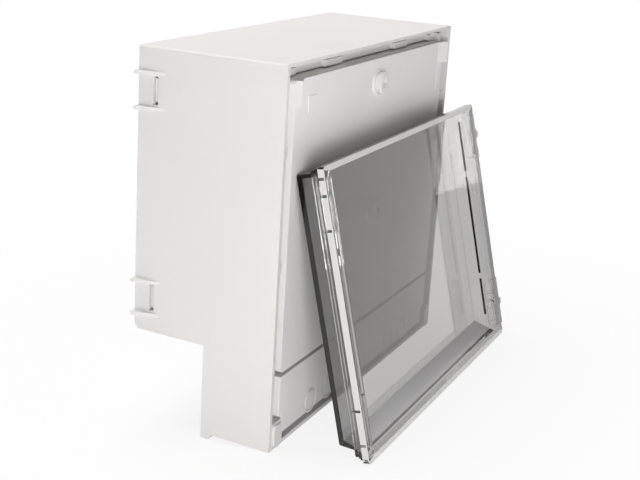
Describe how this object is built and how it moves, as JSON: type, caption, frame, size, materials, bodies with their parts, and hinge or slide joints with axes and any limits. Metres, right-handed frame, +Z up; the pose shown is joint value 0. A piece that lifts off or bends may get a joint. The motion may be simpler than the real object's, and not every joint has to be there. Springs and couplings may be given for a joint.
{
  "type": "din rail enclosure",
  "caption": "Moulded electronics enclosure for a DIN rail or a wall: deep case over a shallow terminal neck, screwed faceplate, terminal cover and a smoked lid leaning on it",
  "frame": {"origin": "Middle of the rail seat, in the plane of the rail's front face. The back of the case is 7 mm behind it at +Y.", "axes": "+X to the right as seen from the front, +Y to the wall behind, +Z up"},
  "size_m": [0.2058, 0.1231, 0.183],
  "materials": {
    "case_plastic": "fine moulded texture",
    "cover_plastic": "fine moulded texture",
    "catch_plastic": "satin",
    "screw_plastic": "satin",
    "smoked_clear": "clear, smoked grey, polished"
  },
  "bodies": {
    "case": {"case_shell": "case_plastic", "base_plate": "case_plastic", "faceplate": "cover_plastic", "faceplate_screw_top": "screw_plastic", "faceplate_screw_low": "screw_plastic", "smoked_lid": "smoked_clear"},
    "catch_left": {"rail_catch_left": "catch_plastic"},
    "catch_right": {"rail_catch_right": "catch_plastic"},
    "lower_cover": {"terminal_cover": "cover_plastic"}
  },
  "joints": [
    {"name": "catch_left_slide", "type": "slide", "parent": "case", "child": "catch_left", "axis": [0, 0, -1], "range_m": [0, 0.005]},
    {"name": "catch_right_slide", "type": "slide", "parent": "case", "child": "catch_right", "axis": [0, 0, -1], "range_m": [0, 0.005]},
    {"name": "lower_cover_pull", "type": "slide", "parent": "case", "child": "lower_cover", "axis": [0, -1, 0], "range_m": [0, 0.012]}
  ]
}
